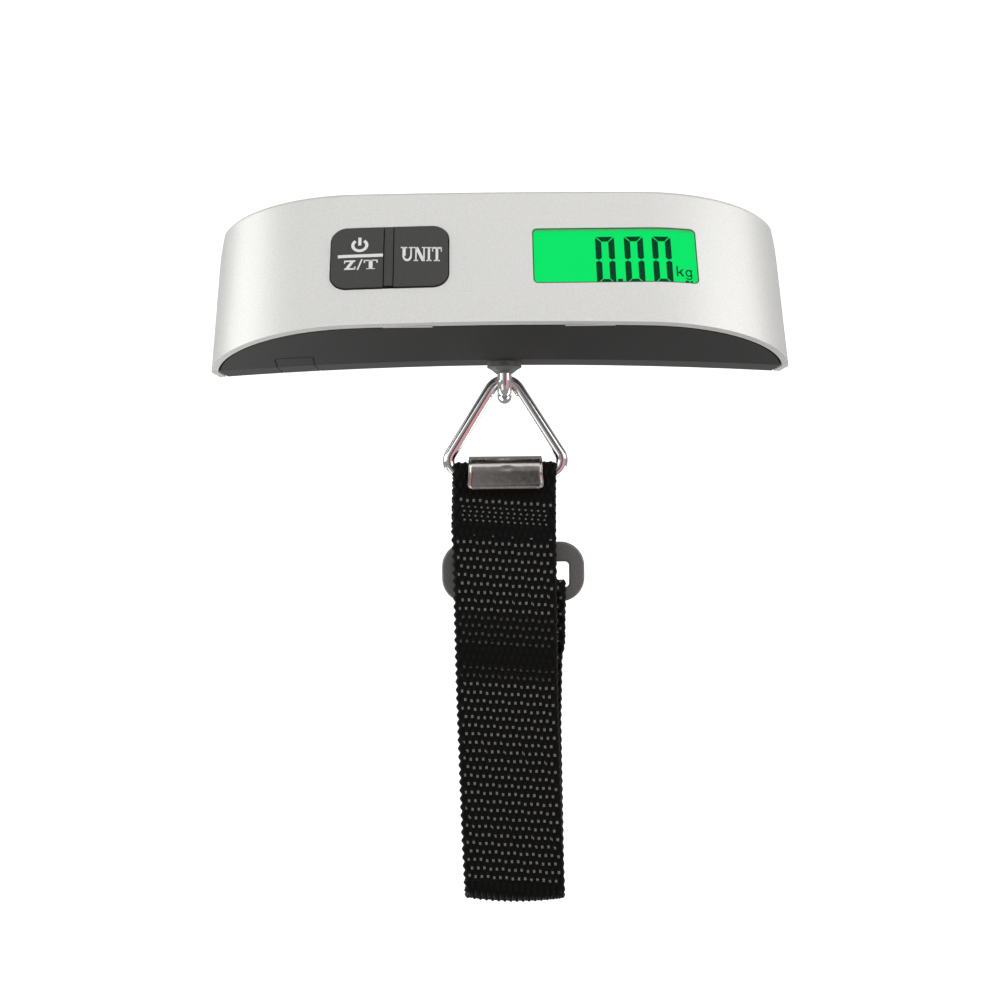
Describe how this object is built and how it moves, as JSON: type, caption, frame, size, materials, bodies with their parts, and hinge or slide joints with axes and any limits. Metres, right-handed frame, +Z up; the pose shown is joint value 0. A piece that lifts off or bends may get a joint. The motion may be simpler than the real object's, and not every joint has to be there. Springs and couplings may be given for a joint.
{
  "type": "digital luggage scale",
  "caption": "Hand-held hanging scale: wedge case with lit display and keypad, swivel hook, triangle ring and a webbing strap with a buckle plate.",
  "frame": {"origin": "middle of the nose ridge, where the sloping display face meets the underside; the fingers close round the case here", "axes": "+X along the case to the reader's right, +Y from the reader to the flat back, +Z up along the pull line"},
  "size_m": [0.145, 0.0357, 0.1791],
  "materials": {
    "silver_paint": "satin metallic paint",
    "black_plastic": "fine grain",
    "lens_green": "clear, lit from behind",
    "lcd_glass": "polished",
    "light_guide": "milky",
    "board_green": "solder mask",
    "chip_black": "moulded",
    "chip_tan": "ceramic",
    "key_rubber": "matt",
    "switch_metal": "stamped",
    "white_plastic": "plain",
    "cell_steel": "brushed",
    "contact_steel": "plated",
    "beam_aluminium": "milled",
    "screw_steel": "zinc plated",
    "gauge_foil": "foil",
    "bush_plastic": "satin",
    "hook_chrome": "polished",
    "clip_chrome": "polished sheet",
    "webbing": "woven",
    "thread": "twisted",
    "buckle_metal": "gunmetal",
    "wire_cover": "insulated"
  },
  "bodies": {
    "case": {"front_shell": "silver_paint", "back_cover": "black_plastic", "display_lens": "lens_green", "lcd_panel": "lcd_glass", "backlight": "light_guide", "circuit_board": "board_green", "main_chip": "chip_black", "small_parts": "chip_tan", "keypad_frame": "key_rubber", "power_switch": "switch_metal", "unit_switch": "switch_metal", "battery_tray": "white_plastic", "coin_cell": "cell_steel", "contact_minus": "contact_steel", "contact_plus": "contact_steel", "load_beam": "beam_aluminium", "beam_spacer": "white_plastic", "beam_screws": "screw_steel", "strain_gauges": "gauge_foil", "hook_bush": "bush_plastic", "shank_washer": "screw_steel", "case_screws": "screw_steel", "gauge_wires": "wire_cover", "battery_wires": "wire_cover"},
    "power_key": {"power_button": "key_rubber"},
    "unit_key": {"unit_button": "key_rubber"},
    "battery_cover": {"battery_door": "black_plastic"},
    "hook": {"load_hook": "hook_chrome", "shank_nut": "screw_steel"},
    "ring": {"triangle_ring": "hook_chrome"},
    "strap_upper": {"strap_front": "webbing", "strap_clip": "clip_chrome", "tail_stitches": "thread", "strap_fold": "webbing"},
    "strap_lower": {"strap_back": "webbing", "end_stitches": "thread"},
    "buckle_plate": {"buckle": "buckle_metal"}
  },
  "joints": [
    {"name": "power_press", "type": "slide", "parent": "case", "child": "power_key", "axis": [0, 0.9088, -0.4172], "range_m": [0, 0.0005], "stiffness_N_per_m": 600},
    {"name": "unit_press", "type": "slide", "parent": "case", "child": "unit_key", "axis": [0, 0.9088, -0.4172], "range_m": [0, 0.0005], "stiffness_N_per_m": 600},
    {"name": "battery_door_off", "type": "slide", "parent": "case", "child": "battery_cover", "axis": [0, 1, 0], "range_m": [0, 0.03]},
    {"name": "hook_swivel", "type": "hinge", "parent": "case", "child": "hook", "pos_m": [0.00105, 0.0212, -0.008], "axis": [0, 0, 1], "continuous": true},
    {"name": "ring_swing", "type": "hinge", "parent": "hook", "child": "ring", "pos_m": [0.00105, 0.02495, -0.01175], "axis": [1, 0, 0], "range_deg": [-50, 50]},
    {"name": "strap_swing", "type": "hinge", "parent": "ring", "child": "strap_upper", "pos_m": [0.00105, 0.02495, -0.0356], "axis": [1, 0, 0], "range_deg": [-35, 35]},
    {"name": "strap_open", "type": "hinge", "parent": "strap_upper", "child": "strap_lower", "pos_m": [0.00105, 0.02725, -0.1403], "axis": [1, 0, 0], "range_deg": [-170, 0], "deforming": ["strap_fold"]},
    {"name": "buckle_tilt", "type": "hinge", "parent": "strap_lower", "child": "buckle_plate", "pos_m": [0.00105, 0.02955, -0.06675], "axis": [1, 0, 0], "range_deg": [-60, 15]}
  ]
}
